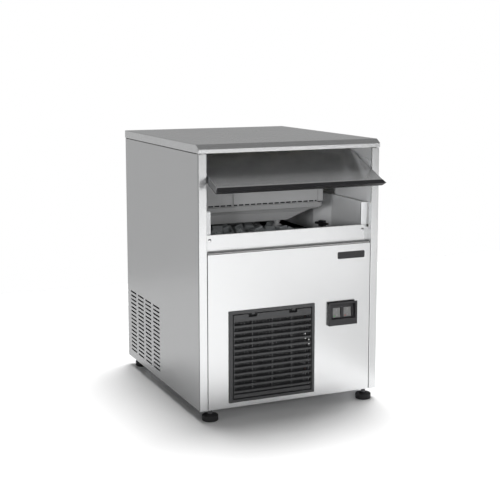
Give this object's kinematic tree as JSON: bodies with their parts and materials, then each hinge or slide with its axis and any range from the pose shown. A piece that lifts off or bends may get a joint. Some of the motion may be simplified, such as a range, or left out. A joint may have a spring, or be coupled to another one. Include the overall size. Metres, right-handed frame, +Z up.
{
  "type": "ice maker",
  "caption": "Under-counter ice cube maker in stainless steel: insulated bin, up-and-over front door, evaporator unit, louvred grille, rocker switches, levelling feet.",
  "frame": {"origin": "middle of the whole machine's footprint, on the floor, with the door part way open as drawn", "axes": "+Z up, +X to the viewer's right when facing the door, +Y from the front towards the back"},
  "size_m": [0.502, 0.6774, 0.69],
  "materials": {
    "stainless": "satin",
    "polished_stainless": "gloss",
    "bright_steel": "gloss",
    "galvanised": "matte",
    "liner_plastic": "satin",
    "foam": "matte",
    "black_plastic": "satin",
    "dark_grey_plastic": "satin",
    "rubber": "matte",
    "tinned_plate": "satin",
    "copper": "satin",
    "black_paint": "satin",
    "switch_lens": "gloss"
  },
  "bodies": {
    "cabinet": {"back_panel": "stainless", "badge_plate": "black_plastic", "base_pan": "galvanised", "bin_drain_hose": "dark_grey_plastic", "bin_insulation": "foam", "bin_liner": "liner_plastic", "bin_thermostat_bulb": "black_plastic", "compressor": "black_paint", "condenser": "tinned_plate", "control_box": "galvanised", "cord_gland": "black_plastic", "curtain_rod": "bright_steel", "discharge_pipe": "copper", "door_guide_left": "liner_plastic", "door_guide_right": "liner_plastic", "drain_fitting": "dark_grey_plastic", "evaporator_coil": "copper", "evaporator_housing": "liner_plastic", "evaporator_plate": "tinned_plate", "fan_motor": "black_paint", "fan_shroud": "black_paint", "filter_drier": "copper", "front_panel": "stainless", "grille_frame": "dark_grey_plastic", "ice_chute": "liner_plastic", "left_side_panel": "stainless", "lid": "stainless", "lid_insulation": "foam", "liquid_pipe": "copper", "machine_room_shelf": "galvanised", "right_side_panel": "stainless", "sill_screw_left": "bright_steel", "sill_screw_right": "bright_steel", "sill_strip": "stainless", "spray_manifold": "dark_grey_plastic", "suction_pipe": "copper", "switch_bezel": "black_plastic", "unit_side_cover": "liner_plastic", "water_inlet_valve": "black_plastic", "water_pump": "black_plastic", "water_sump": "liner_plastic"},
    "door_carriage": {"door_pin_left": "bright_steel", "door_pin_right": "bright_steel"},
    "door": {"door_skin": "polished_stainless", "door_insulation": "foam", "door_inner_panel": "black_plastic", "door_handle": "black_plastic", "door_buffer_left": "rubber", "door_buffer_right": "rubber"},
    "grille_door": {"grille": "dark_grey_plastic", "air_filter": "black_plastic"},
    "fan": {"fan_blade": "tinned_plate"},
    "ice_curtain": {"ice_curtain": "liner_plastic"},
    "power_switch": {"power_switch": "switch_lens"},
    "wash_switch": {"wash_switch": "switch_lens"},
    "foot_front_left": {"foot_front_left": "rubber"},
    "foot_front_right": {"foot_front_right": "rubber"},
    "foot_rear_left": {"foot_rear_left": "rubber"},
    "foot_rear_right": {"foot_rear_right": "rubber"}
  },
  "joints": [
    {"name": "door_slide", "type": "slide", "parent": "cabinet", "child": "door_carriage", "axis": [0, 0.9626, 0.2708], "range_m": [-0.0907, 0.0286]},
    {"name": "door_tilt", "type": "hinge", "parent": "door_carriage", "child": "door", "pos_m": [0, -0.16666, 0.6445], "axis": [-1, 0, 0], "range_deg": [-68.5, 21.5]},
    {"name": "grille_tilt", "type": "hinge", "parent": "cabinet", "child": "grille_door", "pos_m": [-0.05375, -0.26326, 0.053], "axis": [1, 0, 0], "range_deg": [0, 75]},
    {"name": "fan_spin", "type": "hinge", "parent": "cabinet", "child": "fan", "pos_m": [-0.053, -0.15926, 0.156], "axis": [0, 1, 0], "continuous": true},
    {"name": "curtain_swing", "type": "hinge", "parent": "cabinet", "child": "ice_curtain", "pos_m": [0.022, -0.12181, 0.625], "axis": [-1, 0, 0], "range_deg": [0, 35]},
    {"name": "power_switch_rock", "type": "hinge", "parent": "cabinet", "child": "power_switch", "pos_m": [0.1295, -0.26176, 0.243], "axis": [1, 0, 0], "range_deg": [0, 12]},
    {"name": "wash_switch_rock", "type": "hinge", "parent": "cabinet", "child": "wash_switch", "pos_m": [0.161, -0.26176, 0.243], "axis": [1, 0, 0], "range_deg": [0, 12]},
    {"name": "foot_front_left_turn", "type": "hinge", "parent": "cabinet", "child": "foot_front_left", "pos_m": [-0.219, -0.25126, 0.008], "axis": [0, 0, 1], "continuous": true},
    {"name": "foot_front_right_turn", "type": "hinge", "parent": "cabinet", "child": "foot_front_right", "pos_m": [0.219, -0.25126, 0.008], "axis": [0, 0, 1], "continuous": true},
    {"name": "foot_rear_left_turn", "type": "hinge", "parent": "cabinet", "child": "foot_rear_left", "pos_m": [-0.219, 0.28174, 0.008], "axis": [0, 0, 1], "continuous": true},
    {"name": "foot_rear_right_turn", "type": "hinge", "parent": "cabinet", "child": "foot_rear_right", "pos_m": [0.219, 0.28174, 0.008], "axis": [0, 0, 1], "continuous": true}
  ],
  "couplings": [
    {"joint": "door_slide", "follows": "door_tilt", "m_per_rad": 0.075681}
  ]
}
